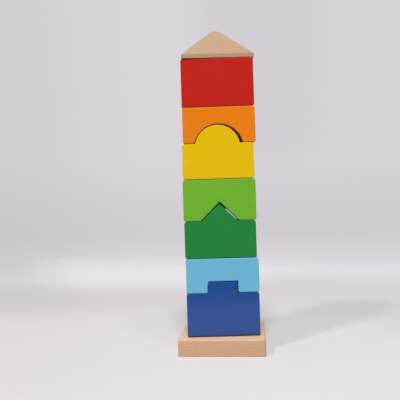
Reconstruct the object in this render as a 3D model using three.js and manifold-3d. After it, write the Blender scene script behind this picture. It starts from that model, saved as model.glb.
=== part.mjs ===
// Wooden stacking tower: seven coloured blocks and a hipped roof, threaded on a dowel in a square foot.
// Three pairs of blocks key together: tenon in notch, peak in V, dome in arch.
// Millimetres, +Z up, front face at -Y.
import * as THREE from "three";
import { mergeVertices } from "three/addons/utils/BufferGeometryUtils.js";
import Module from "manifold-3d";

const wasm = await Module();
wasm.setup();

// Foot
const baseSide = 71.2;
const baseThickness = 13.25;
const baseCornerRadius = 1.8;
const baseEdgeRadius = 1.2;

// Dowel
const pegDiameter = 10;
const pegSetDepth = 9;
const pegReach = 12; // how far its end stands up into the roof
const pegEndRadius = 2;

// Fits
const glueGap = 0.3; // dowel in the foot's hole
const seatGap = 0.3; // between two stacked faces
const borePlay = 1.25; // radial, bore on dowel
const boreEase = 0.8; // broken edge at a flat bore mouth
const socketHeadroom = 2; // over the dowel's end in the roof

// Blocks
const blockWidth = 60.35;
const blockDepth = 50;
const keyedNarrowing = 1; // the peaked and domed blocks are sanded this much narrower
const edgeRadius = 0.5; // front and back edges
const cornerExtra = 0.4; // corners of the front outline are this much rounder than the edges
const blueHeight = 35.65;
const lightBlueHeight = 28.7;
const darkGreenHeight = 30.5;
const lightGreenHeight = 34.55;
const yellowHeight = 29.5;
const orangeHeight = 30;
const redHeight = 39.95;

// Keys
const tenonWidth = 24.6;
const tenonHeight = 9.35;
const tenonShift = 0.2; // off the middle of its block
const notchSideClearance = 0.4;
const notchTopClearance = 0.3;
const peakWidth = 30.7;
const peakHeight = 14.4; // to the sharp apex, before it is rounded
const peakShift = -0.35; // off the middle of its block
const veeSideClearance = 0.65;
const veeTopClearance = 1.4;
const domeRadius = 18.85;
const domeSink = 3.6; // centre of the dome below the shoulder
const archEase = 0.5; // least gap between dome and arch
const archDrop = 0.7; // centre of the arch below the centre of the dome
const archShift = -0.43; // off the middle of its block

// Roof
const rimHeight = 3.5;
const pyramidHeight = 28.3; // to the sharp apex, before it is rounded
const tipRadius = 6;
const hipRadius = 1.2;

// How the pieces were put on: turns in degrees, sideways shifts as shares of the free play on the dowel
const blueTurn = 5.3;
const greenTurn = 5;
const yellowTurn = 5.3;
const redTurn = 6;
const roofTurn = 7.8;
const blueShift = -0.43;
const lightBlueShift = -0.19;
const darkGreenShift = -0.92;
const lightGreenShift = -0.74;
const yellowShift = -0.98;
const orangeShift = 0.53;
const redShift = 0.07;
const roofShift = 0.2;

// Steps along curves
const cornerSteps = 3;
const edgeSteps = 3;
const arcSteps = 28;
const roundSteps = 48;

const pegRadius = pegDiameter / 2;
const boreRadius = pegRadius + borePlay;
const freePlay = borePlay - seatGap;
const cornerRadius = edgeRadius + cornerExtra;
const archLean = (orangeShift - yellowShift) * freePlay + archShift;
const archRadius = domeRadius + Math.hypot(archLean, archDrop) + archEase;

const plainWood = 0xd2ae8c;

function toSolid(geometry) {
  const bare = geometry.clone();
  bare.deleteAttribute("normal");
  bare.deleteAttribute("uv");
  const merged = mergeVertices(bare, 1e-4);
  return new wasm.Manifold(
    new wasm.Mesh({
      numProp: 3,
      vertProperties: merged.attributes.position.array,
      triVerts: new Uint32Array(merged.index.array),
    }),
  );
}

function toGeometry(solid) {
  const data = solid.getMesh();
  const geometry = new THREE.BufferGeometry();
  geometry.setAttribute("position", new THREE.BufferAttribute(data.vertProperties, 3));
  geometry.setIndex(new THREE.BufferAttribute(data.triVerts, 1));
  geometry.computeVertexNormals();
  return geometry;
}

function arcPoints(x, y, radius, from, to, steps) {
  const points = [];
  for (let i = 0; i <= steps; i += 1) {
    const angle = from + ((to - from) * i) / steps;
    points.push(new THREE.Vector2(x + radius * Math.cos(angle), y + radius * Math.sin(angle)));
  }
  return points;
}

// Closed outline through corners { x, y, radius, steps }, each rounded by an arc that touches both sides.
function roundOutline(corners) {
  const points = [];
  corners.forEach((corner, i) => {
    const here = new THREE.Vector2(corner.x, corner.y);
    if (!corner.radius) {
      points.push(here);
      return;
    }
    const before = corners[(i + corners.length - 1) % corners.length];
    const after = corners[(i + 1) % corners.length];
    const back = new THREE.Vector2(before.x, before.y).sub(here).normalize();
    const on = new THREE.Vector2(after.x, after.y).sub(here).normalize();
    const half = Math.acos(back.dot(on)) / 2;
    const middle = back.clone().add(on).setLength(corner.radius / Math.sin(half)).add(here);
    const start = back.clone().multiplyScalar(corner.radius / Math.tan(half)).add(here).sub(middle);
    const end = on.clone().multiplyScalar(corner.radius / Math.tan(half)).add(here).sub(middle);
    const sweep = Math.atan2(start.cross(end), start.dot(end));
    const from = start.angle();
    const steps = corner.steps ?? cornerSteps;
    points.push(...arcPoints(middle.x, middle.y, corner.radius, from, from + sweep, steps));
  });
  return points;
}

function rounded(x, y) {
  return { x, y, radius: cornerRadius };
}

function sharp(x, y) {
  return { x, y, radius: 0 };
}

// Block with its front outline in X and Z, its edges rounded front and back, standing on z = 0.
function blockFrom(outline) {
  const geometry = new THREE.ExtrudeGeometry(new THREE.Shape(outline), {
    depth: blockDepth - 2 * edgeRadius,
    bevelEnabled: true,
    bevelThickness: edgeRadius,
    bevelSize: edgeRadius,
    bevelOffset: -edgeRadius,
    bevelSegments: edgeSteps,
  });
  geometry.translate(0, 0, edgeRadius - blockDepth / 2);
  geometry.rotateX(Math.PI / 2);
  return toSolid(geometry);
}

// Solid of revolution about Z from [radius, z] pairs that start and end on the axis, lowest first.
function turned(profile) {
  const geometry = new THREE.LatheGeometry(
    profile.map(([radius, z]) => new THREE.Vector2(radius, z)),
    roundSteps,
  );
  geometry.rotateX(Math.PI / 2);
  return toSolid(geometry);
}

// Straight bore through a block, with a broken edge at each mouth that lies in a flat face.
function bored(solid, bottom, top, easeBottom, easeTop) {
  const low = easeBottom ? boreEase : 0;
  const high = easeTop ? boreEase : 0;
  const past = 2 * boreEase;
  const cutter = turned([
    [0, bottom - past],
    [boreRadius + low, bottom - past],
    [boreRadius + low, bottom],
    [boreRadius, bottom + boreEase],
    [boreRadius, top - boreEase],
    [boreRadius + high, top],
    [boreRadius + high, top + past],
    [0, top + past],
  ]);
  return solid.subtract(cutter);
}

function plainBlock(width, height) {
  const half = width / 2;
  const solid = blockFrom(
    roundOutline([rounded(-half, 0), rounded(half, 0), rounded(half, height), rounded(-half, height)]),
  );
  return bored(solid, 0, height, true, true);
}

function tenonBlock(width, height) {
  const half = width / 2;
  const tenon = tenonWidth / 2;
  const top = height + tenonHeight;
  const solid = blockFrom(
    roundOutline([
      rounded(-half, 0),
      rounded(half, 0),
      rounded(half, height),
      sharp(tenonShift + tenon, height),
      rounded(tenonShift + tenon, top),
      rounded(tenonShift - tenon, top),
      sharp(tenonShift - tenon, height),
      rounded(-half, height),
    ]),
  );
  return bored(solid, 0, top, true, true);
}

function notchBlock(width, height) {
  const half = width / 2;
  const notch = tenonWidth / 2 + notchSideClearance;
  const ceiling = tenonHeight + notchTopClearance;
  const solid = blockFrom(
    roundOutline([
      rounded(-half, 0),
      rounded(-notch, 0),
      sharp(-notch, ceiling),
      sharp(notch, ceiling),
      rounded(notch, 0),
      rounded(half, 0),
      rounded(half, height),
      rounded(-half, height),
    ]),
  );
  return bored(solid, ceiling, height, true, true);
}

function peakBlock(width, height) {
  const half = width / 2;
  const foot = peakWidth / 2;
  const top = height + peakHeight;
  const solid = blockFrom(
    roundOutline([
      rounded(-half, 0),
      rounded(half, 0),
      rounded(half, height),
      sharp(peakShift + foot, height),
      rounded(peakShift, top),
      sharp(peakShift - foot, height),
      rounded(-half, height),
    ]),
  );
  return bored(solid, 0, top, true, false);
}

function veeBlock(width, height) {
  const half = width / 2;
  const foot = peakWidth / 2 + veeSideClearance;
  const solid = blockFrom(
    roundOutline([
      rounded(-half, 0),
      rounded(-foot, 0),
      sharp(0, peakHeight + veeTopClearance),
      rounded(foot, 0),
      rounded(half, 0),
      rounded(half, height),
      rounded(-half, height),
    ]),
  );
  return bored(solid, 0, height, false, true);
}

function domeBlock(width, height) {
  const half = width / 2;
  const rise = Math.asin(domeSink / domeRadius);
  const body = roundOutline([
    rounded(-half, height),
    rounded(-half, 0),
    rounded(half, 0),
    rounded(half, height),
  ]);
  const dome = arcPoints(0, height - domeSink, domeRadius, rise, Math.PI - rise, arcSteps);
  return bored(blockFrom([...body, ...dome]), 0, height - domeSink + domeRadius, true, false);
}

// The arch runs into the underside through two rounded feet that touch both the arc and the flat.
function archBlock(width, height) {
  const half = width / 2;
  const sink = domeSink + seatGap + archDrop;
  const footX = Math.sqrt((archRadius + cornerRadius) ** 2 - (sink + cornerRadius) ** 2);
  const spring = Math.atan2(sink + cornerRadius, footX);
  const down = -Math.PI / 2;
  const leftX = archShift - footX;
  const rightX = archShift + footX;
  const leftFoot = arcPoints(leftX, cornerRadius, cornerRadius, down, -spring, cornerSteps);
  const rightFoot = arcPoints(rightX, cornerRadius, cornerRadius, spring - Math.PI, down, cornerSteps);
  const arch = arcPoints(archShift, -sink, archRadius, Math.PI - spring, spring, arcSteps).slice(1, -1);
  const body = roundOutline([
    rounded(half, 0),
    rounded(half, height),
    rounded(-half, height),
    rounded(-half, 0),
  ]);
  return bored(blockFrom([...body, ...leftFoot, ...arch, ...rightFoot]), 0, height, false, true);
}

// Square foot, every edge rounded, with a blind hole for the dowel.
function basePlate() {
  const half = baseSide / 2;
  const radius = baseCornerRadius;
  const outline = roundOutline([
    { x: -half, y: -half, radius },
    { x: half, y: -half, radius },
    { x: half, y: half, radius },
    { x: -half, y: half, radius },
  ]);
  const geometry = new THREE.ExtrudeGeometry(new THREE.Shape(outline), {
    depth: baseThickness - 2 * baseEdgeRadius,
    bevelEnabled: true,
    bevelThickness: baseEdgeRadius,
    bevelSize: baseEdgeRadius,
    bevelOffset: -baseEdgeRadius,
    bevelSegments: edgeSteps,
  });
  geometry.translate(0, 0, baseEdgeRadius);
  const holeRadius = pegRadius + glueGap;
  const holeFloor = baseThickness - pegSetDepth;
  const hole = turned([
    [0, holeFloor],
    [holeRadius, holeFloor],
    [holeRadius, baseThickness + baseEdgeRadius],
    [0, baseThickness + baseEdgeRadius],
  ]);
  return toSolid(geometry).subtract(hole);
}

function peg(bottom, top) {
  const noseX = pegRadius - pegEndRadius;
  const noseZ = top - pegEndRadius;
  const nose = arcPoints(noseX, noseZ, pegEndRadius, 0, Math.PI / 2, 2 * cornerSteps);
  return turned([[0, bottom], [pegRadius, bottom], ...nose.map((point) => [point.x, point.y]), [0, top]]);
}

// Hipped roof lofted through rectangles that follow one rounded gable profile, with a blind socket below.
function hippedRoof() {
  const half = blockWidth / 2;
  const gable = roundOutline([
    rounded(-half, 0),
    rounded(half, 0),
    rounded(half, rimHeight),
    { x: 0, y: rimHeight + pyramidHeight, radius: tipRadius, steps: 2 * cornerSteps },
    rounded(-half, rimHeight),
  ]);
  const rise = gable.filter((point) => point.x > 1e-6);
  const sections = rise.map((point) => {
    const share = point.x / half;
    const halfX = point.x;
    const halfY = (blockDepth / 2) * share;
    const radius = Math.min(hipRadius, halfY / 2);
    const corners = [[-1, -1], [1, -1], [1, 1], [-1, 1]];
    const ring = roundOutline(corners.map(([x, y]) => ({ x: x * halfX, y: y * halfY, radius })));
    return ring.map((at) => new THREE.Vector3(at.x, at.y, point.y));
  });
  const tip = Math.max(...gable.map((point) => point.y));
  const count = sections[0].length;
  const vertices = [new THREE.Vector3(0, 0, 0), ...sections.flat(), new THREE.Vector3(0, 0, tip)];
  const last = vertices.length - 1;
  const faces = [];
  for (let i = 0; i < count; i += 1) {
    const next = (i + 1) % count;
    faces.push(0, 1 + next, 1 + i);
    for (let ring = 0; ring < sections.length - 1; ring += 1) {
      const low = 1 + ring * count;
      const high = low + count;
      faces.push(low + i, low + next, high + next);
      faces.push(low + i, high + next, high + i);
    }
    faces.push(last - count + i, last - count + next, last);
  }
  const geometry = new THREE.BufferGeometry().setFromPoints(vertices);
  geometry.setIndex(faces);
  const socketTop = pegReach + socketHeadroom;
  const socket = turned([
    [0, -2 * boreEase],
    [boreRadius + boreEase, -2 * boreEase],
    [boreRadius + boreEase, 0],
    [boreRadius, boreEase],
    [boreRadius, socketTop],
    [0, socketTop],
  ]);
  return toSolid(geometry).subtract(socket);
}

const tower = new THREE.Group();
tower.name = "stacking_tower";

function place(name, solid, colour, roughness, z, turn, shift) {
  const material = new THREE.MeshStandardMaterial({ color: colour, roughness, metalness: 0 });
  const mesh = new THREE.Mesh(toGeometry(solid), material);
  const angle = THREE.MathUtils.degToRad(turn);
  mesh.name = name;
  mesh.rotation.z = angle;
  mesh.position.set(shift * freePlay * Math.cos(angle), shift * freePlay * Math.sin(angle), z);
  tower.add(mesh);
}

const keyedWidth = blockWidth - keyedNarrowing;
const stack = [
  ["blue_block", tenonBlock, blockWidth, blueHeight, 0x395491, blueTurn, blueShift],
  ["light_blue_block", notchBlock, blockWidth, lightBlueHeight, 0x6db4d0, blueTurn, lightBlueShift],
  ["dark_green_block", peakBlock, keyedWidth, darkGreenHeight, 0x27813c, greenTurn, darkGreenShift],
  ["light_green_block", veeBlock, blockWidth, lightGreenHeight, 0x70af35, greenTurn, lightGreenShift],
  ["yellow_block", domeBlock, keyedWidth, yellowHeight, 0xe1bb12, yellowTurn, yellowShift],
  ["orange_block", archBlock, blockWidth, orangeHeight, 0xe8801b, yellowTurn, orangeShift],
  ["red_block", plainBlock, blockWidth, redHeight, 0xc22821, redTurn, redShift],
];

let seat = baseThickness + seatGap;
for (const [name, make, width, height, colour, turn, shift] of stack) {
  place(name, make(width, height), colour, 0.5, seat, turn, shift);
  seat += height + seatGap;
}
place("base_plate", basePlate(), plainWood, 0.6, 0, 0, 0);
place("peg", peg(baseThickness - pegSetDepth + glueGap, seat + pegReach), plainWood, 0.6, 0, 0, 0);
place("pyramid_roof", hippedRoof(), plainWood, 0.6, seat, roofTurn, roofShift);

export default tower;
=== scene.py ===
from math import acos, atan2, ceil, cos, hypot, pi, radians, sin, sqrt, tan

import bmesh
import bpy
from mathutils import Matrix, Vector


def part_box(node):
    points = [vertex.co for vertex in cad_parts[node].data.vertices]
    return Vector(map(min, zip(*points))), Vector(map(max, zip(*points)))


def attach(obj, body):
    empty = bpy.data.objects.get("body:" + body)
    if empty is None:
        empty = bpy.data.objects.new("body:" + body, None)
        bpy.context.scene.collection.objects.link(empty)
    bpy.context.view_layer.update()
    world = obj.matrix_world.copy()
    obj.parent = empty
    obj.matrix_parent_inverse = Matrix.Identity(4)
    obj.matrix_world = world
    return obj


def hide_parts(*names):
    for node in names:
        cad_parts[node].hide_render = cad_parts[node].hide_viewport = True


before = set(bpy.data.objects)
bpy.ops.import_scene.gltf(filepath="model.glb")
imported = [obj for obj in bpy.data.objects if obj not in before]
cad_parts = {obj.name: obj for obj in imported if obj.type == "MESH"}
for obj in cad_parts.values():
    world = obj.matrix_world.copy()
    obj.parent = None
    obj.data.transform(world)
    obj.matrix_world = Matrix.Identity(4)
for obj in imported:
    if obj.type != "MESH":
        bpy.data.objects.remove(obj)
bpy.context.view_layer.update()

scene = bpy.context.scene
scene.view_settings.view_transform = "Standard"
mm = 0.001
print("stacking tower: frame loaded,", len(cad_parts), "nodes")

# the camera stands a little right of the tower's front, level, and leans a touch
camera = {
    "lens": 47.77,
    "sensor": 36.0,
    "nearest": 0.02,  # metres
    "farthest": 50.0,
    "azimuth": 5.93,  # degrees round from the front
    "distance": 464.3,
    "sideways": -17.25,
    "height": 127.06,
    "roll": 1.8,  # degrees
}

turn = radians(camera["azimuth"])
ahead = Vector((-sin(turn), cos(turn), 0))
across = Vector((cos(turn), sin(turn), 0))
upward = Vector((0, 0, 1))


def makeCamera(setup):
    lens = bpy.data.cameras.new("towerCamera")
    lens.lens = setup["lens"]
    lens.sensor_width = setup["sensor"]
    lens.clip_start = setup["nearest"]
    lens.clip_end = setup["farthest"]
    lens.dof.use_dof = False
    eye = bpy.data.objects.new("towerCamera", lens)
    scene.collection.objects.link(eye)
    roll = radians(setup["roll"])
    rightAxis = across * cos(roll) - upward * sin(roll)
    upAxis = across * sin(roll) + upward * cos(roll)
    place = -ahead * setup["distance"] + across * setup["sideways"] + upward * setup["height"]
    frameOfEye = Matrix((rightAxis, upAxis, -ahead)).transposed().to_4x4()
    frameOfEye.translation = place * mm
    eye.matrix_world = frameOfEye
    scene.camera = eye


makeCamera(camera)
print("stacking tower: camera set")

# how finely curves are drawn, in steps
fineness = {
    "cornerStep": 13.0,  # degrees of a rounded corner to a step
    "cornerLeast": 3,
    "dome": 72,
    "domeFoot": 6,
    "archFoot": 8,
    "blockEdge": 6,
    "footEdge": 7,
    "dowelNose": 10,
}


# outlines: lists of (x, z, normalX, normalZ, tone), anticlockwise; tone is above 0 on an
# outer edge, where paint is thin, and below 0 in an inner corner, which gets painted shade
def arcOf(x, z, radius, start, end, steps, hollow=False, tone=1.0):
    points = []
    for i in range(steps + 1):
        share = i / steps
        angle = start + (end - start) * share
        c, s = cos(angle), sin(angle)
        side = -1 if hollow else 1
        points.append((x + radius * c, z + radius * s, side * c, side * s, tone * sin(pi * share)))
    return points


def roundCorner(before, here, after, radius):
    back = (Vector(before) - Vector(here)).normalized()
    on = (Vector(after) - Vector(here)).normalized()
    half = acos(max(-1.0, min(1.0, back.dot(on)))) / 2
    middle = Vector(here) + (back + on).normalized() * radius / sin(half)
    start = Vector(here) + back * radius / tan(half) - middle
    end = Vector(here) + on * radius / tan(half) - middle
    sweep = atan2(start.x * end.y - start.y * end.x, start.dot(end))
    begin = atan2(start.y, start.x)
    steps = max(fineness["cornerLeast"], ceil(abs(sweep) / radians(fineness["cornerStep"])))
    hollow = sweep < 0
    tone = -1.0 if hollow else 1.0
    return arcOf(middle.x, middle.y, radius, begin, begin + sweep, steps, hollow, tone)


def roundOutline(corners):
    points = []
    for i, (x, z, radius) in enumerate(corners):
        before, after = corners[i - 1], corners[(i + 1) % len(corners)]
        points += roundCorner(before[:2], (x, z), after[:2], radius)
    return points


# rings across a rounded edge: (distance along, inset, tone)
def roundedRings(low, high, lowEdge, highEdge, steps):
    quarter = [pi / 2 * i / steps for i in range(steps + 1)]
    first = [(low + lowEdge * (1 - cos(a)), lowEdge * (1 - sin(a)), sin(2 * a)) for a in quarter]
    last = [(high - highEdge * (1 - cos(a)), highEdge * (1 - sin(a)), sin(2 * a)) for a in reversed(quarter)]
    return first + last


# joins each ring of points to the next
def skin(shape, rows):
    count = len(rows[0])
    for low, high in zip(rows, rows[1:]):
        for i in range(count):
            j = (i + 1) % count
            shape.faces.new((low[i], low[j], high[j], high[i]))


# carries an outline along a third direction, rounding both ends; upright lays the outline in X and Z
def loft(name, outline, rings, upright):
    shape = bmesh.new()
    toneLayer = shape.verts.layers.float.new("edgeTone")
    rows = []
    for along, inset, ringTone in rings:
        row = []
        flat = along in (rings[0][0], rings[-1][0])  # the flat ends carry no tone
        for u, v, nu, nv, tone in outline:
            u, v = u - nu * inset, v - nv * inset
            at = (u, along, v) if upright else (u, v, along)
            vert = shape.verts.new(Vector(at) * mm)
            vert[toneLayer] = 0 if flat else tone if abs(tone) > ringTone else ringTone
            row.append(vert)
        rows.append(row)
    skin(shape, rows)
    shape.faces.new(reversed(rows[0]))
    shape.faces.new(rows[-1])
    return closedPiece(name, shape)


# turns a profile of (radius, z) about Z
def lathe(name, profile, segments):
    shape = bmesh.new()
    shape.verts.layers.float.new("edgeTone")
    rows = []
    for radius, z in profile:
        row = []
        for i in range(segments):
            angle = 2 * pi * i / segments
            row.append(shape.verts.new(Vector((radius * cos(angle), radius * sin(angle), z)) * mm))
        rows.append(row)
    skin(shape, rows)
    shape.faces.new(reversed(rows[0]))
    shape.faces.new(rows[-1])
    return closedPiece(name, shape)


def closedPiece(name, shape):
    bmesh.ops.recalc_face_normals(shape, faces=shape.faces)
    mesh = bpy.data.meshes.new(name)
    shape.to_mesh(mesh)
    shape.free()
    piece = bpy.data.objects.new(name, mesh)
    scene.collection.objects.link(piece)
    return piece


def cutAway(piece, cutter):
    cutting = piece.modifiers.new("bore", "BOOLEAN")
    cutting.operation = "DIFFERENCE"
    cutting.solver = "EXACT"
    cutting.object = cutter
    bpy.context.view_layer.update()
    whole = piece.data
    cut = piece.evaluated_get(bpy.context.evaluated_depsgraph_get())
    piece.data = bpy.data.meshes.new_from_object(cut)
    piece.data.name = piece.name
    piece.modifiers.clear()
    bpy.data.meshes.remove(whole)
    spent = cutter.data
    bpy.data.objects.remove(cutter)
    bpy.data.meshes.remove(spent)


# how every block and the roof is drilled; the drill leaves bare wood and a softened mouth
drill = {
    "radius": 6.25,
    "segments": 96,
    "ease": 0.8,  # rounding of a mouth
    "mouthSteps": 6,
    "mouthSweep": 78.0,  # degrees of the rounding, before it runs straight out
    "flareOut": 2.2,  # where it ends, in eases outward and past the face
    "flarePast": 1.2,
    "overrun": 2.0,  # the bit goes this far past a mouth in a hollow
    "fade": 3.0,  # paint runs this far into the mouth
    "fadeRings": (0.25, 0.6, 1.0),
}


# a softened mouth as it leaves a flat face at z; up is 1 for a top mouth and -1 for a bottom one
def mouthProfile(z, up):
    radius, ease, steps = drill["radius"], drill["ease"], drill["mouthSteps"]
    points = []
    for i in range(steps + 1):
        angle = radians(drill["mouthSweep"]) * i / steps
        points.append((radius + ease * (1 - cos(angle)), z - up * ease * (1 - sin(angle))))
    points.append((radius + drill["flareOut"] * ease, z + up * drill["flarePast"] * ease))
    return points


def drillPiece(piece, bottom, top, easeBottom, easeTop):
    radius, ease, fade = drill["radius"], drill["ease"], drill["fade"]
    low = list(reversed(mouthProfile(bottom, -1))) if easeBottom else [(radius, bottom - drill["overrun"])]
    high = mouthProfile(top, 1) if easeTop else [(radius, top)]
    wall = [bottom + ease + fade * share for share in drill["fadeRings"]]
    wall += [top - ease - fade * share for share in reversed(drill["fadeRings"])]
    cutter = lathe("drillBit", low + [(radius, z) for z in wall] + high, drill["segments"])
    cutAway(piece, cutter)


# how a finished surface is cleaned and shaded
surfacing = {
    "weld": 2e-7,  # metres
    "sliver": 1e-7,
    "slack": 0.05,  # millimetres either way of the drill's radius
    "paintedRim": 0.4,  # share of a mouth's rounding that is fully painted
    "rimTone": 0.6,
    "crispFrom": 34.0,  # degrees; sharper corners stay crisp
    "evenWeight": 60,
}


# marks what the drill bared, softens the shading and keeps the true corners crisp
def finishSurface(piece, boreFrom=None, boreTo=None):
    mesh = piece.data
    shape = bmesh.new()
    shape.from_mesh(mesh)
    bmesh.ops.remove_doubles(shape, verts=shape.verts, dist=surfacing["weld"])
    bmesh.ops.dissolve_degenerate(shape, edges=shape.edges, dist=surfacing["sliver"])
    toneLayer = shape.verts.layers.float.get("edgeTone")
    bareLayer = shape.verts.layers.float.new("bareWood")
    if boreFrom is not None:
        wall = drill["radius"] + surfacing["slack"]
        for vert in shape.verts:
            out = hypot(vert.co.x, vert.co.y) / mm
            if out > wall + drill["ease"]:
                continue
            z = vert.co.z / mm
            deep = min(z - boreFrom, boreTo - z) - surfacing["paintedRim"] * drill["ease"]
            vert[bareLayer] = min(1.0, max(0.0, deep / drill["fade"]))
            vert[toneLayer] = surfacing["rimTone"] if out > wall else 0.0
    for edge in shape.edges:
        edge.smooth = edge.calc_face_angle(0) < radians(surfacing["crispFrom"])
    for face in shape.faces:
        face.smooth = True
    shape.to_mesh(mesh)
    shape.free()
    even = piece.modifiers.new("evenShading", "WEIGHTED_NORMAL")
    even.keep_sharp = True
    even.weight = surfacing["evenWeight"]


def hand(piece, part, material):
    low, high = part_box(part["node"])
    middle = (low + high) / 2
    spin = Matrix.Rotation(radians(part.get("turn", 0.0)), 4, "Z")
    piece.matrix_world = Matrix.Translation((middle.x, middle.y, low.z)) @ spin
    piece.data.materials.clear()
    piece.data.materials.append(material)
    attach(piece, part["body"])
    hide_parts(part["node"])


# finishes
noiseMost = (0.3, 0.7)  # most of a noise's values lie in here
noiseWide = (0.25, 0.75)
noiseAll = (0.2, 0.8)
waveTurn = 20  # radians that a wave texture turns over one unit at scale 1


# a colour code as linear light
def linearColour(code, lift=1.0):
    values = [int(code[i:i + 2], 16) / 255 for i in (0, 2, 4)]
    values = [v / 12.92 if v <= 0.04045 else ((v + 0.055) / 1.055) ** 2.4 for v in values]
    return [min(1.0, v * lift) for v in values] + [1.0]


def feed(tree, socket, value):
    if isinstance(value, bpy.types.NodeSocket):
        tree.links.new(value, socket)
    else:
        socket.default_value = value


def grainSpace(tree, stretch, shift=(0.0, 0.0, 0.0)):
    place = tree.nodes.new("ShaderNodeTexCoord")
    lay = tree.nodes.new("ShaderNodeMapping")
    lay.inputs["Scale"].default_value = stretch
    lay.inputs["Location"].default_value = shift
    tree.links.new(place.outputs["Object"], lay.inputs["Vector"])
    return lay.outputs["Vector"]


def noiseAt(tree, vector, scale, detail=2.0, rough=0.5):
    noise = tree.nodes.new("ShaderNodeTexNoise")
    noise.inputs["Scale"].default_value = scale
    noise.inputs["Detail"].default_value = detail
    noise.inputs["Roughness"].default_value = rough
    tree.links.new(vector, noise.inputs["Vector"])
    return noise.outputs["Fac"]


def spread(tree, value, fromLow, fromHigh, low, high):
    ranged = tree.nodes.new("ShaderNodeMapRange")
    ranged.interpolation_type = "SMOOTHSTEP"
    tree.links.new(value, ranged.inputs["Value"])
    for name, number in zip(("From Min", "From Max", "To Min", "To Max"), (fromLow, fromHigh, low, high)):
        ranged.inputs[name].default_value = number
    return ranged.outputs["Result"]


def mixColour(tree, factor, first, second, way="MIX"):
    mix = tree.nodes.new("ShaderNodeMix")
    mix.data_type = "RGBA"
    mix.blend_type = way
    sockets = [s for s in mix.inputs if s.enabled]
    feed(tree, sockets[0], factor)
    feed(tree, sockets[1], first)
    feed(tree, sockets[2], second)
    return [s for s in mix.outputs if s.enabled][0]


def figure(tree, way, first, second):
    sums = tree.nodes.new("ShaderNodeMath")
    sums.operation = way
    feed(tree, sums.inputs[0], first)
    feed(tree, sums.inputs[1], second)
    return sums.outputs[0]


def vectorFigure(tree, way, vector, other=(0.0, 0.0, 0.0)):
    sums = tree.nodes.new("ShaderNodeVectorMath")
    sums.operation = way
    tree.links.new(vector, sums.inputs[0])
    sums.inputs[1].default_value = other
    return sums.outputs["Value"]


def axesOf(tree, vector):
    split = tree.nodes.new("ShaderNodeSeparateXYZ")
    tree.links.new(vector, split.inputs[0])
    return split.outputs


def attributeOf(tree, name):
    stored = tree.nodes.new("ShaderNodeAttribute")
    stored.attribute_name = name
    return stored.outputs["Fac"]


def newFinish(name):
    material = bpy.data.materials.new(name)
    material.use_nodes = True
    tree = material.node_tree
    return material, tree, tree.nodes["Principled BSDF"]


def addRelief(tree, shader, height, strength, distance):
    bump = tree.nodes.new("ShaderNodeBump")
    bump.inputs["Strength"].default_value = strength
    bump.inputs["Distance"].default_value = distance
    tree.links.new(height, bump.inputs["Height"])
    tree.links.new(bump.outputs["Normal"], shader.inputs["Normal"])


# plain beech, lightly oiled: growth lines, pore dashes, darker end grain, and painted light that makes flat
# tops paler
beech = {
    "light": "CEA788",
    "dark": "C29B79",
    "dash": "AE8361",
    "endGrain": "AE8866",
    "endFacing": (0.55, 0.95),
    "endShare": 0.55,
    "paintedTopLight": "53514C",  # painted light: a flat top face is made paler by this much
    "paintedTopFacing": (0.8, 0.97),
    "lengthwise": 0.07,  # the pattern changes this much slower along the grain
    "pith": (0.045, 0.045, -0.063),  # metres from the growth rings' middle
    "lineGap": 2.6,  # millimetres between growth lines
    "lineWander": 3.2,
    "lineDetail": 3.0,
    "lineDetailScale": 0.6,
    "lineShare": 0.42,
    "driftScale": 60.0,
    "driftShare": 0.58,
    "dashLength": 3.2,
    "dashWidth": 0.32,
    "dashCut": (0.58, 0.72),
    "dashShare": 0.6,
    "handled": 0.2,  # edges are this much nearer the light tone
    "roughness": 0.5,
    "patchScale": 90.0,
    "patchRough": 0.05,
    "dashRough": 0.12,
    "sheen": 0.2,
    "lineRelief": 0.25,
    "reliefStrength": 0.35,
    "reliefDepth": 0.00012,
}


def beechColour(tree, along, wood):
    stretch = [1.0, 1.0, 1.0]
    stretch[along] = wood["lengthwise"]
    pith = list(wood["pith"])
    pith[along] = 0.0
    rings = tree.nodes.new("ShaderNodeTexWave")
    rings.wave_type = "RINGS"
    rings.rings_direction = "XYZ"[along]
    rings.wave_profile = "SAW"
    rings.inputs["Scale"].default_value = 2 * pi / waveTurn / (wood["lineGap"] * mm)
    rings.inputs["Distortion"].default_value = wood["lineWander"]
    rings.inputs["Detail"].default_value = wood["lineDetail"]
    rings.inputs["Detail Scale"].default_value = wood["lineDetailScale"]
    tree.links.new(grainSpace(tree, stretch, pith), rings.inputs["Vector"])
    drift = noiseAt(tree, grainSpace(tree, stretch), wood["driftScale"], detail=3.0)
    tone = figure(tree, "ADD", spread(tree, rings.outputs["Fac"], 0.0, 1.0, 0.0, wood["lineShare"]),
                  spread(tree, drift, *noiseMost, 0.0, wood["driftShare"]))
    colour = mixColour(tree, tone, linearColour(wood["light"]), linearColour(wood["dark"]))
    fine = [1 / (wood["dashWidth"] * mm)] * 3
    fine[along] = 1 / (wood["dashLength"] * mm)
    pores = noiseAt(tree, grainSpace(tree, fine), 1.0, detail=1.0)
    dashes = spread(tree, pores, *wood["dashCut"], 0.0, wood["dashShare"])
    colour = mixColour(tree, dashes, colour, linearColour(wood["dash"]))
    return colour, tone, dashes


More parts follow.
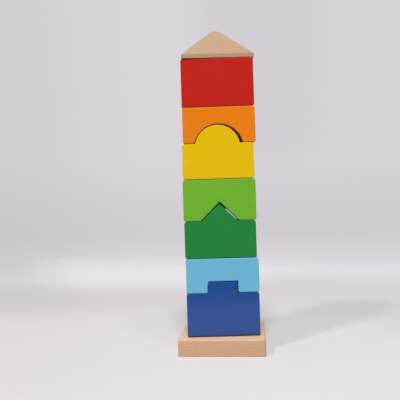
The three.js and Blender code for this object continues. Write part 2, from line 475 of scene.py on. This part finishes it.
def plainBeech(name, along, wood):
    material, tree, shader = newFinish(name)
    colour, tone, dashes = beechColour(tree, along, wood)
    place = tree.nodes.new("ShaderNodeTexCoord")
    facing = axesOf(tree, place.outputs["Normal"])
    endFacing = figure(tree, "ABSOLUTE", facing[along], 0.0)
    endOn = spread(tree, endFacing, *wood["endFacing"], 0.0, wood["endShare"])
    colour = mixColour(tree, endOn, colour, linearColour(wood["endGrain"]))
    # painted light: faces turned up are lightened, standing in for the light they catch from above
    paintedTopShare = spread(tree, facing[2], *wood["paintedTopFacing"], 0.0, 1.0)
    colour = mixColour(tree, paintedTopShare, colour, linearColour(wood["paintedTopLight"]), "ADD")
    handled = spread(tree, attributeOf(tree, "edgeTone"), 0.0, 1.0, 0.0, wood["handled"])
    colour = mixColour(tree, handled, colour, linearColour(wood["light"]))
    tree.links.new(colour, shader.inputs["Base Color"])
    patchy = noiseAt(tree, place.outputs["Object"], wood["patchScale"], detail=3.0)
    rough = figure(tree, "ADD", spread(tree, patchy, *noiseMost, -wood["patchRough"], wood["patchRough"]),
                   spread(tree, dashes, 0.0, wood["dashShare"], 0.0, wood["dashRough"]))
    tree.links.new(figure(tree, "ADD", rough, wood["roughness"]), shader.inputs["Roughness"])
    shader.inputs["Specular IOR Level"].default_value = wood["sheen"]
    height = figure(tree, "SUBTRACT", spread(tree, tone, 0.0, 1.0, 0.0, wood["lineRelief"]), dashes)
    addRelief(tree, shader, height, wood["reliefStrength"], wood["reliefDepth"])
    return material


# satin paint on beech: grain just shows through, edges rubbed lighter, inner corners given painted shade,
# drilled holes bare
paintCoat = {
    "mottle": 0.03,
    "cloudScale": 55.0,
    "cloudShare": 0.6,
    "streakScale": 900.0,
    "streakShare": 0.4,
    "streakRoughness": 0.6,
    "grainStretch": 0.05,
    "edgeLift": 0.03,
    "rubbedKeeps": 0.8,  # a rubbed edge keeps this much of the colour
    "rubbedGains": 0.16,
    "paintedCornerShare": 0.35,  # painted shade: inner corners take this much of a darker copy of the paint
    "paintedCornerDarkness": 0.6,
    "raggedScale": 600.0,  # the paint's end in a bore
    "ragged": 0.25,
    "bareCut": (0.25, 0.6),
    "roughness": 0.16,
    "cloudRough": (-0.04, 0.05),
    "rubbedFull": 0.4,
    "rubbedRough": -0.06,
    "bareRough": 0.7,
    "sawnFacing": (-0.4, -0.05),
    "sawnRough": 0.75,
    "gloss": 0.5,
    "peelScale": 1400.0,
    "peelShare": 0.25,
    "reliefStrength": 0.22,
    "reliefDepth": 0.00009,
}


def satinPaint(name, colourCode):
    coat = paintCoat
    material, tree, shader = newFinish(name)
    place = tree.nodes.new("ShaderNodeTexCoord")
    at = place.outputs["Object"]
    cloudy = noiseAt(tree, at, coat["cloudScale"], detail=3.0)
    streaks = grainSpace(tree, (coat["grainStretch"], 1.0, 1.0))
    streaky = noiseAt(tree, streaks, coat["streakScale"], 3.0, coat["streakRoughness"])
    film = figure(tree, "ADD", spread(tree, cloudy, *noiseWide, 0.0, coat["cloudShare"]),
                  spread(tree, streaky, *noiseMost, 0.0, coat["streakShare"]))
    thin, thick = linearColour(colourCode, 1 - coat["mottle"]), linearColour(colourCode, 1 + coat["mottle"])
    paint = mixColour(tree, film, thin, thick)
    edges = attributeOf(tree, "edgeTone")
    rubbed = spread(tree, edges, 0.0, 1.0, 0.0, coat["edgeLift"])
    pale = [c * coat["rubbedKeeps"] + coat["rubbedGains"] for c in linearColour(colourCode)[:3]] + [1.0]
    paint = mixColour(tree, rubbed, paint, pale)
    # painted shade: inner corners are darkened
    paintedCornerShade = spread(tree, edges, -1.0, 0.0, coat["paintedCornerShare"], 0.0)
    paint = mixColour(tree, paintedCornerShade, paint, linearColour(colourCode, coat["paintedCornerDarkness"]))
    wood = beechColour(tree, 0, beech)[0]
    crumbs = noiseAt(tree, at, coat["raggedScale"], detail=3.0)
    ragged = figure(tree, "ADD", attributeOf(tree, "bareWood"),
                    spread(tree, crumbs, *noiseMost, -coat["ragged"], coat["ragged"]))
    bared = spread(tree, ragged, *coat["bareCut"], 0.0, 1.0)
    tree.links.new(mixColour(tree, bared, paint, wood), shader.inputs["Base Color"])
    rough = figure(tree, "ADD", spread(tree, cloudy, *noiseMost, *coat["cloudRough"]),
                   spread(tree, rubbed, 0.0, coat["rubbedFull"], 0.0, coat["rubbedRough"]))
    rough = figure(tree, "ADD", rough, spread(tree, bared, 0.0, 1.0, coat["roughness"], coat["bareRough"]))
    facing = axesOf(tree, place.outputs["Normal"])
    # hollows and undersides stay dull
    sawn = spread(tree, facing[2], *coat["sawnFacing"], coat["sawnRough"], 0.0)
    tree.links.new(figure(tree, "MAXIMUM", rough, sawn), shader.inputs["Roughness"])
    shader.inputs["Specular IOR Level"].default_value = coat["gloss"]
    orangePeel = noiseAt(tree, at, coat["peelScale"], detail=1.0)
    height = figure(tree, "ADD", streaky, spread(tree, orangePeel, *noiseAll, 0.0, coat["peelShare"]))
    addRelief(tree, shader, height, coat["reliefStrength"], coat["reliefDepth"])
    return material


print("stacking tower: finishes ready")

# what all the blocks share
blank = {
    "depth": 50.0,
    "corner": 1.8,  # rounding of a block's own corners, seen from the front
    "keyCorner": 1.35,  # the same on a tenon, a notch, a peak or an arch
    "inner": 0.3,  # rounding left by the cutter in an inner corner
}


def makeBlock(name, block, outline, boreFrom, boreTo, easeBottom, easeTop):
    half, edge = blank["depth"] / 2, block["edge"]
    rings = roundedRings(-half, half, edge, edge, fineness["blockEdge"])
    piece = loft(name, outline, rings, True)
    drillPiece(piece, boreFrom, boreTo, easeBottom, easeTop)
    finishSurface(piece, boreFrom, boreTo)
    hand(piece, block, satinPaint(name + "Paint", block["colour"]))
    print("stacking tower:", name, len(piece.data.vertices), "points")


# blue block: square tenon on top
blueBlock = {
    "node": "blue_block",
    "body": "blue",
    "slot": "blue_paint",
    "colour": "1D478E",
    "edge": 0.9,  # rounding of the front and back edges
    "width": 60.35,
    "height": 35.65,
    "turn": 5.3,
    "tenonWidth": 24.6,
    "tenonHeight": 9.35,
    "tenonShift": 0.2,  # off the middle
}


def makeBlueBlock(block):
    half, shift = block["width"] / 2, block["tenonShift"]
    left, right = shift - block["tenonWidth"] / 2, shift + block["tenonWidth"] / 2
    height, top = block["height"], block["height"] + block["tenonHeight"]
    r, key, inner = blank["corner"], blank["keyCorner"], blank["inner"]
    outline = roundOutline([
        (-half, 0, r), (half, 0, r), (half, height, r), (right, height, inner),
        (right, top, key), (left, top, key), (left, height, inner), (-half, height, r),
    ])
    makeBlock("blueBlock", block, outline, 0, top, True, True)


makeBlueBlock(blueBlock)

# light blue block: square notch below, over the tenon
lightBlueBlock = {
    "node": "light_blue_block",
    "body": "light_blue",
    "slot": "light_blue_paint",
    "colour": "69B1CF",
    "edge": 0.9,  # rounding of the front and back edges
    "width": 60.35,
    "height": 28.7,
    "turn": 5.3,
    "notchWidth": 25.4,
    "notchHeight": 9.65,
}


def makeLightBlueBlock(block):
    half, notch = block["width"] / 2, block["notchWidth"] / 2
    height, ceiling = block["height"], block["notchHeight"]
    r, key, inner = blank["corner"], blank["keyCorner"], blank["inner"]
    outline = roundOutline([
        (-half, 0, r), (-notch, 0, key), (-notch, ceiling, inner), (notch, ceiling, inner),
        (notch, 0, key), (half, 0, r), (half, height, r), (-half, height, r),
    ])
    makeBlock("lightBlueBlock", block, outline, ceiling, height, True, True)


makeLightBlueBlock(lightBlueBlock)

# dark green block: peaked top
darkGreenBlock = {
    "node": "dark_green_block",
    "body": "dark_green",
    "slot": "dark_green_paint",
    "colour": "228139",
    "edge": 0.7,  # rounding of the front and back edges
    "width": 59.35,
    "height": 30.5,
    "turn": 5.0,
    "peakWidth": 30.7,
    "peakHeight": 14.4,  # to the sharp apex
    "peakShift": -0.13,  # off the middle
}


def makeDarkGreenBlock(block):
    half, foot, shift = block["width"] / 2, block["peakWidth"] / 2, block["peakShift"]
    height, top = block["height"], block["height"] + block["peakHeight"]
    r, key, inner = blank["corner"], blank["keyCorner"], blank["inner"]
    outline = roundOutline([
        (-half, 0, r), (half, 0, r), (half, height, r), (shift + foot, height, inner),
        (shift, top, key), (shift - foot, height, inner), (-half, height, r),
    ])
    makeBlock("darkGreenBlock", block, outline, 0, top, True, False)


makeDarkGreenBlock(darkGreenBlock)

# light green block: V notch below, over the peak
lightGreenBlock = {
    "node": "light_green_block",
    "body": "light_green",
    "slot": "light_green_paint",
    "colour": "6CAD31",
    "edge": 0.9,  # rounding of the front and back edges
    "width": 60.35,
    "height": 34.55,
    "turn": 5.0,
    "veeWidth": 32.0,
    "veeHeight": 15.8,
}


def makeLightGreenBlock(block):
    half, foot = block["width"] / 2, block["veeWidth"] / 2
    height, apex = block["height"], block["veeHeight"]
    r, key, inner = blank["corner"], blank["keyCorner"], blank["inner"]
    outline = roundOutline([
        (-half, 0, r), (-foot, 0, key), (0, apex, inner), (foot, 0, key),
        (half, 0, r), (half, height, r), (-half, height, r),
    ])
    makeBlock("lightGreenBlock", block, outline, 0, height, False, True)


makeLightGreenBlock(lightGreenBlock)

# yellow block: domed top
yellowBlock = {
    "node": "yellow_block",
    "body": "yellow",
    "slot": "yellow_paint",
    "colour": "DDB70D",
    "edge": 0.6,  # rounding of the front and back edges
    "width": 59.35,
    "height": 29.5,
    "turn": 5.3,
    "domeRadius": 18.85,
    "domeSink": 3.6,  # centre of the dome below the shoulder
}


def makeYellowBlock(block):
    half, height = block["width"] / 2, block["height"]
    radius, sink = block["domeRadius"], block["domeSink"]
    r, inner = blank["corner"], blank["inner"]
    footX = sqrt((radius + inner) ** 2 - (sink + inner) ** 2)
    rise = atan2(sink + inner, footX)
    body = roundOutline([(-half, height, r), (-half, 0, r), (half, 0, r), (half, height, r)])
    steps = fineness["domeFoot"]
    rightFoot = arcOf(footX, height + inner, inner, -pi / 2, -pi + rise, steps, True, -1.0)
    dome = arcOf(0, height - sink, radius, rise, pi - rise, fineness["dome"], False, 0.0)[1:-1]
    leftFoot = arcOf(-footX, height + inner, inner, -rise, -pi / 2, steps, True, -1.0)
    outline = body + rightFoot + dome + leftFoot
    makeBlock("yellowBlock", block, outline, 0, height - sink + radius, True, False)


makeYellowBlock(yellowBlock)

# orange block: arch below, over the dome
orangeBlock = {
    "node": "orange_block",
    "body": "orange",
    "slot": "orange_paint",
    "colour": "E17B16",
    "edge": 0.9,  # rounding of the front and back edges
    "width": 60.35,
    "height": 30.0,
    "turn": 5.3,
    "archRadius": 20.574,
    "archSink": 4.6,  # centre of the arch below the underside
    "archShift": -0.43,  # off the middle
}


def makeOrangeBlock(block):
    half, height = block["width"] / 2, block["height"]
    radius, sink, shift = block["archRadius"], block["archSink"], block["archShift"]
    r, key = blank["corner"], blank["keyCorner"]
    footX = sqrt((radius + key) ** 2 - (sink + key) ** 2)
    spring = atan2(sink + key, footX)
    body = roundOutline([(half, 0, r), (half, height, r), (-half, height, r), (-half, 0, r)])
    steps = fineness["archFoot"]
    leftFoot = arcOf(shift - footX, key, key, -pi / 2, -spring, steps)
    arch = arcOf(shift, -sink, radius, pi - spring, spring, fineness["dome"], True, 0.0)[1:-1]
    rightFoot = arcOf(shift + footX, key, key, -pi + spring, -pi / 2, steps)
    outline = body + leftFoot + arch + rightFoot
    makeBlock("orangeBlock", block, outline, 0, height, False, True)


makeOrangeBlock(orangeBlock)

# red block: plain
redBlock = {
    "node": "red_block",
    "body": "red",
    "slot": "red_paint",
    "colour": "BA251C",
    "edge": 1.1,  # rounding of the front and back edges
    "width": 60.35,
    "height": 39.95,
    "turn": 6.0,
}


def makeRedBlock(block):
    half, height, r = block["width"] / 2, block["height"], blank["corner"]
    outline = roundOutline([(-half, 0, r), (half, 0, r), (half, height, r), (-half, height, r)])
    makeBlock("redBlock", block, outline, 0, height, True, True)


makeRedBlock(redBlock)

# foot: square beech plate with a blind hole for the dowel
footPlate = {
    "node": "base_plate",
    "body": "base",
    "slot": "beech",
    "side": 71.2,
    "thickness": 13.25,
    "corner": 1.8,
    "lowerEdge": 0.15,
    "upperEdge": 1.2,
    "holeRadius": 5.3,
    "holeFloor": 4.25,
    "mouth": ((0.0, -0.4), (0.06, -0.2), (0.2, -0.05), (1.0, 0.75)),  # out and up from the hole's rim
}


def makeFoot(plate):
    half, r, thickness = plate["side"] / 2, plate["corner"], plate["thickness"]
    outline = roundOutline([(-half, -half, r), (half, -half, r), (half, half, r), (-half, half, r)])
    rings = roundedRings(0, thickness, plate["lowerEdge"], plate["upperEdge"], fineness["footEdge"])
    piece = loft("footPlate", outline, rings, False)
    hole = plate["holeRadius"]
    mouth = [(hole + out, thickness + rise) for out, rise in plate["mouth"]]
    cutAway(piece, lathe("footDrill", [(hole, plate["holeFloor"])] + mouth, drill["segments"]))
    finishSurface(piece)
    hand(piece, plate, plainBeech("footBeech", 0, beech))
    print("stacking tower: foot", len(piece.data.vertices), "points")


makeFoot(footPlate)

# dowel: beech rod with a rounded upper end
dowel = {
    "node": "peg",
    "body": "base",
    "slot": "beech",
    "radius": 5.0,
    "endRound": 2.0,
}


def makeDowel(rod):
    low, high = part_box(rod["node"])
    length = (high.z - low.z) / mm
    radius, r, steps = rod["radius"], rod["endRound"], fineness["dowelNose"]
    quarter = [pi / 2 * i / steps for i in range(steps + 1)]
    nose = [(radius - r + r * cos(a), length - r + r * sin(a)) for a in quarter]
    piece = lathe("dowel", [(radius, 0), (radius, length / 2)] + nose, drill["segments"])
    finishSurface(piece)
    hand(piece, rod, plainBeech("dowelBeech", 2, beech))
    print("stacking tower: dowel", round(length, 1), "mm long")


makeDowel(dowel)

# roof: hipped beech cap on a short upright rim, with a blind socket
roof = {
    "node": "pyramid_roof",
    "body": "roof",
    "slot": "beech",
    "width": 60.35,
    "depth": 50.0,
    "turn": 7.8,
    "rim": 3.5,
    "pitch": 28.3,  # height of the slopes to the sharp apex
    "tip": 6.0,
    "edge": 0.9,
    "lowerEdge": 0.45,
    "hip": 1.2,
    "socket": 14.0,
    "slopeStep": 4.0,  # between rings up the slopes
    "crownRing": 0.3,  # half width of the smallest ring, about the crown
}
# cut from a greyer board
roofBeech = dict(beech, light="B4937A", dark="AC8C72", dash="9B7A60", endGrain="97785C")


def makeRoof(cap):
    half, rim, r, low = cap["width"] / 2, cap["rim"], cap["edge"], cap["lowerEdge"]
    gable = roundOutline([
        (-half, 0, low), (half, 0, low), (half, rim, r), (0, rim + cap["pitch"], cap["tip"]), (-half, rim, r),
    ])
    side = [(x, z, tone) for x, z, nx, nz, tone in gable if x > cap["crownRing"]]
    rising = []
    for (x, z, tone), (nextX, nextZ, nextTone) in zip(side, side[1:]):
        steps = max(1, int(hypot(nextX - x, nextZ - z) / cap["slopeStep"]))
        rising += [(x + (nextX - x) * i / steps, z + (nextZ - z) * i / steps,
                    tone + (nextTone - tone) * i / steps) for i in range(steps)]
    rising.append(side[-1])
    shape = bmesh.new()
    toneLayer = shape.verts.layers.float.new("edgeTone")
    rows = []
    for x, z, tone in rising:
        y = cap["depth"] / 2 * x / half
        hip = min(cap["hip"], y / 2)
        ring = roundOutline([(-x, -y, hip), (x, -y, hip), (x, y, hip), (-x, y, hip)])
        row = []
        for u, v, nu, nv, ringTone in ring:
            vert = shape.verts.new(Vector((u, v, z)) * mm)
            vert[toneLayer] = max(tone, ringTone) if rows else 0  # the flat underside carries none
            row.append(vert)
        rows.append(row)
    skin(shape, rows)
    shape.faces.new(reversed(rows[0]))
    bottom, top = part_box(cap["node"])
    crown = shape.verts.new(Vector((0, 0, top.z - bottom.z)))
    last = rows[-1]
    for i in range(len(last)):
        shape.faces.new((last[i], last[(i + 1) % len(last)], crown))
    piece = closedPiece("hippedRoof", shape)
    mouth = list(reversed(mouthProfile(0, -1)))
    cutAway(piece, lathe("roofDrill", mouth + [(drill["radius"], cap["socket"])], drill["segments"]))
    finishSurface(piece)
    hand(piece, cap, plainBeech("roofBeech", 0, roofBeech))
    print("stacking tower: roof", len(piece.data.vertices), "points")


makeRoof(roof)

# studio: pale paper floor that ends softly behind the tower, pale wall colour beyond it
studio = {
    # paper tones, left and right
    "floorNear": ("CFCAC8", "CECACC"),
    "floorBand": ("C8C2C2", "CAC5C9"),  # a duller stripe behind the tower
    "floorFar": ("E0DBDC", "D9D5DB"),
    "toneSides": (-0.2, 0.1),  # metres aside
    # the stripe, in metres behind the tower
    "bandLean": -0.2,  # on the left
    "bandBegins": (0.11, 0.19),
    "bandEnds": (0.22, 0.45),
    "bandWidens": 0.07,  # on the right
    "bandWidensOver": (-0.15, 0.05),
    # the floor is darker towards its left end, along a slanting line, and a little at its right end
    "floorCorner": "A09C9E",
    "cornerSlant": (0.863, 0.616),
    "cornerEnds": (-0.2, -0.03),
    "cornerRises": (0.0, 0.3),
    "cornerShares": (0.1, 0.36),
    "rightEnd": (0.09, 0.15),
    "rightRises": (0.0, 0.14),
    "rightFalls": (0.13, 0.18),
    "rightShare": 0.17,
    # faint clouds in the paper
    "cloudScale": 9.0,
    "cloudShare": 0.03,
    "cloudShade": 0.8,
    "paperRough": 0.85,
    "paperSheen": 0.1,
    # how the paper lies, in metres
    "floorReach": 4.0,
    "floorBack": 1.5,
    "floorDrop": 0.0002,  # under the foot
    "floorTwist": -16.0,  # degrees by which the paper's far edge is out of square with the camera
    "floorEnds": (0.50, 0.75),
    "paperMiddle": 0.2,  # the camera loses the paper this far round a point behind the tower
    "paperEnds": (0.72, 1.05),
    "shineEnds": (0.22, 0.30),  # the paints mirror no floor further out than this
    # wall tones, by the height and the side looked towards, as shares of the direction
    "wall": "D8D3D7",
    "wallLow": "D0CBCF",
    "wallRises": (-0.055, 0.09),
    "wallFoot": "D9D5DA",
    "wallFootEnds": (-0.125, -0.055),
    "wallLeft": (0.938, 1.025),  # dimmer at the far left
    "wallLeftEnds": (-0.375, -0.06),
    "wallRight": (0.974, 0.974, 0.99, 1.0),  # a shade cooler right of the tower
    "wallRightEnds": (-0.02, 0.06),
    "wallStripe": (0.94, 0.957, 0.955, 1.0),  # and duller there high up
    "stripeBegins": (-0.05, 0.04),
    "stripeEnds": (0.14, 0.30),
    "stripeAbove": (0.03, 0.12),
    # light that the room gives
    "daylight": (0.95, 0.96, 1.0, 1.0),
    "sky": 0.22,  # soft light from overhead
    "skyRises": (0.15, 0.95),
    "wallGlow": 1.0,  # light the pale wall throws on the tower's back
    "glowFades": (0.2, 0.5),
    "wallBegins": (-0.3, 0.2),  # where the room's front gives way to the wall
    "darkRoom": "1C1B1B",  # what the paints mirror in front and low down
    "mirrorRises": (0.0, 0.12),
}


def paperTone(tree, at, aside, behind, room):
    toRight = spread(tree, aside, *room["toneSides"], 0.0, 1.0)
    near, band, far = [mixColour(tree, toRight, *[linearColour(code) for code in room[zone]])
                       for zone in ("floorNear", "floorBand", "floorFar")]
    lean = figure(tree, "MULTIPLY", figure(tree, "MINIMUM", aside, 0.0), room["bandLean"])
    level = figure(tree, "ADD", behind, lean)
    tone = mixColour(tree, spread(tree, level, *room["bandBegins"], 0.0, 1.0), near, band)
    wider = spread(tree, aside, *room["bandWidensOver"], 0.0, room["bandWidens"])
    level = figure(tree, "SUBTRACT", level, wider)
    tone = mixColour(tree, spread(tree, level, *room["bandEnds"], 0.0, 1.0), tone, far)
    slant = [figure(tree, "MULTIPLY", *pair) for pair in zip((aside, behind), room["cornerSlant"])]
    onLeft = spread(tree, figure(tree, "ADD", *slant), *room["cornerEnds"], 1.0, 0.0)
    share = spread(tree, behind, *room["cornerRises"], *room["cornerShares"])
    onLeft = figure(tree, "MULTIPLY", onLeft, share)
    tone = mixColour(tree, onLeft, tone, linearColour(room["floorCorner"]))
    onRight = figure(tree, "MULTIPLY", spread(tree, behind, *room["rightRises"], 0.0, room["rightShare"]),
                     spread(tree, behind, *room["rightFalls"], 1.0, 0.0))
    onRight = figure(tree, "MULTIPLY", onRight, spread(tree, aside, *room["rightEnd"], 0.0, 1.0))
    tone = mixColour(tree, onRight, tone, linearColour(room["floorCorner"]))
    cloud = noiseAt(tree, at, room["cloudScale"], detail=3.0)
    shade = linearColour(room["wallLow"], room["cloudShade"])
    return mixColour(tree, spread(tree, cloud, *noiseMost, 0.0, room["cloudShare"]), tone, shade)


def floorPaper(room):
    material, tree, shader = newFinish("floorPaper")
    place = tree.nodes.new("ShaderNodeTexCoord")
    at = place.outputs["Object"]
    axes = axesOf(tree, at)
    aside, behind = axes[0], axes[1]
    tree.links.new(paperTone(tree, at, aside, behind, room), shader.inputs["Base Color"])
    shader.inputs["Roughness"].default_value = room["paperRough"]
    shader.inputs["Specular IOR Level"].default_value = room["paperSheen"]
    path = tree.nodes.new("ShaderNodeLightPath")
    beyond = spread(tree, vectorFigure(tree, "LENGTH", at), *room["shineEnds"], 0.0, 1.0)
    unmirrored = figure(tree, "MULTIPLY", path.outputs["Is Glossy Ray"], beyond)
    outward = vectorFigure(tree, "DISTANCE", at, (0, room["paperMiddle"], 0))
    faint = spread(tree, outward, *room["paperEnds"], 0.0, 1.0)
    lost = figure(tree, "MULTIPLY", path.outputs["Is Camera Ray"], faint)
    seen = spread(tree, behind, *room["floorEnds"], 1.0, 0.0)
    seen = figure(tree, "SUBTRACT", seen, figure(tree, "MAXIMUM", unmirrored, lost))
    tree.links.new(seen, shader.inputs["Alpha"])
    return material


def makeFloor(room):
    reach, back = room["floorReach"], room["floorBack"]
    shape = bmesh.new()
    corners = [(-reach, -reach), (reach, -reach), (reach, back), (-reach, back)]
    shape.faces.new([shape.verts.new((x, y, 0)) for x, y in corners])
    mesh = bpy.data.meshes.new("paperFloor")
    shape.to_mesh(mesh)
    shape.free()
    floor = bpy.data.objects.new("paperFloor", mesh)
    scene.collection.objects.link(floor)
    twist = Matrix.Rotation(turn + radians(room["floorTwist"]), 4, "Z")
    floor.matrix_world = Matrix.Translation((0, 0, -room["floorDrop"])) @ twist
    mesh.materials.append(floorPaper(room))


def wallTone(tree, aside, height, room):
    rise = spread(tree, height, *room["wallRises"], 0.0, 1.0)
    tone = mixColour(tree, rise, linearColour(room["wallLow"]), linearColour(room["wall"]))
    nearFloor = spread(tree, height, *room["wallFootEnds"], 1.0, 0.0)
    tone = mixColour(tree, nearFloor, tone, linearColour(room["wallFoot"]))
    fromLeft = spread(tree, aside, *room["wallLeftEnds"], *room["wallLeft"])
    tone = mixColour(tree, 1.0, tone, fromLeft, "MULTIPLY")
    onRight = spread(tree, aside, *room["wallRightEnds"], 0.0, 1.0)
    tone = mixColour(tree, onRight, tone, room["wallRight"], "MULTIPLY")
    stripe = figure(tree, "MULTIPLY", spread(tree, aside, *room["stripeBegins"], 0.0, 1.0),
                    spread(tree, aside, *room["stripeEnds"], 1.0, 0.0))
    stripe = figure(tree, "MULTIPLY", stripe, spread(tree, height, *room["stripeAbove"], 0.0, 1.0))
    return mixColour(tree, stripe, tone, room["wallStripe"], "MULTIPLY")


def mixShader(tree, factor, first, second):
    mix = tree.nodes.new("ShaderNodeMixShader")
    for source, socket in zip((factor, first, second), mix.inputs):
        tree.links.new(source, socket)
    return mix.outputs[0]


# the camera sees the wall's tones, the paints mirror a dark room with the wall behind it,
# and all other light is the daylight
def makeWall(room):
    world = bpy.data.worlds.new("paleWall")
    scene.world = world
    world.use_nodes = True
    tree = world.node_tree
    tree.nodes.clear()
    place = tree.nodes.new("ShaderNodeTexCoord")
    looking = place.outputs["Generated"]
    height = axesOf(tree, looking)[2]
    tone = wallTone(tree, vectorFigure(tree, "DOT_PRODUCT", looking, across), height, room)
    paper = tree.nodes.new("ShaderNodeBackground")
    tree.links.new(tone, paper.inputs["Color"])
    toBack = spread(tree, vectorFigure(tree, "DOT_PRODUCT", looking, ahead), *room["wallBegins"], 0.0, 1.0)
    glow = figure(tree, "MULTIPLY", toBack, spread(tree, height, *room["glowFades"], room["wallGlow"], 0.0))
    above = spread(tree, height, *room["skyRises"], 0.0, room["sky"])
    daylight = tree.nodes.new("ShaderNodeBackground")
    daylight.inputs["Color"].default_value = room["daylight"]
    tree.links.new(figure(tree, "ADD", above, glow), daylight.inputs["Strength"])
    paleBehind = figure(tree, "MULTIPLY", toBack, spread(tree, height, *room["mirrorRises"], 0.0, 1.0))
    mirrored = tree.nodes.new("ShaderNodeBackground")
    dark = linearColour(room["darkRoom"])
    tree.links.new(mixColour(tree, paleBehind, dark, tone), mirrored.inputs["Color"])
    path = tree.nodes.new("ShaderNodeLightPath")
    light = mixShader(tree, path.outputs["Is Glossy Ray"], daylight.outputs[0], mirrored.outputs[0])
    seen = figure(tree, "MAXIMUM", path.outputs["Is Camera Ray"], path.outputs["Is Transmission Ray"])
    ends = tree.nodes.new("ShaderNodeOutputWorld")
    tree.links.new(mixShader(tree, seen, light, paper.outputs[0]), ends.inputs[0])


# lamps; towards: right, ahead and up as the camera sees them; level: what a white card facing the lamp gives
lamps = {
    "key": {"towards": (-0.49, -0.44, 0.752), "size": 0.5, "level": 0.29, "colour": (1.0, 1.0, 1.0)},
    "overhead": {"towards": (-0.016, -0.5, 0.866), "size": 1.0, "level": 0.985, "colour": (1.0, 1.0, 1.0)},
    "fill": {"towards": (0.25, -0.4, 0.88), "size": 0.5, "level": 0.08, "colour": (0.9, 1.0, 1.0)},
}
lampStand = {
    "away": 4.0,  # metres from where the lamps point
    "aim": 0.12,  # metres up the tower
}


def makeLamp(name, lamp):
    light = bpy.data.lights.new(name, "AREA")
    light.shape = "DISK"
    light.size = lamp["size"]
    light.color = lamp["colour"]
    light.energy = lamp["level"] * (pi * lampStand["away"]) ** 2
    stand = bpy.data.objects.new(name, light)
    scene.collection.objects.link(stand)
    stand.visible_glossy = False  # the satin paints mirror no lamp
    side, front, high = lamp["towards"]
    towards = (across * side + ahead * front + upward * high).normalized()
    stand.location = upward * lampStand["aim"] + towards * lampStand["away"]
    stand.rotation_mode = "QUATERNION"
    stand.rotation_quaternion = (-towards).to_track_quat("-Z", "Y")


makeFloor(studio)
makeWall(studio)
for lampName, lamp in lamps.items():
    makeLamp(lampName + "Lamp", lamp)
print("stacking tower: studio lit")
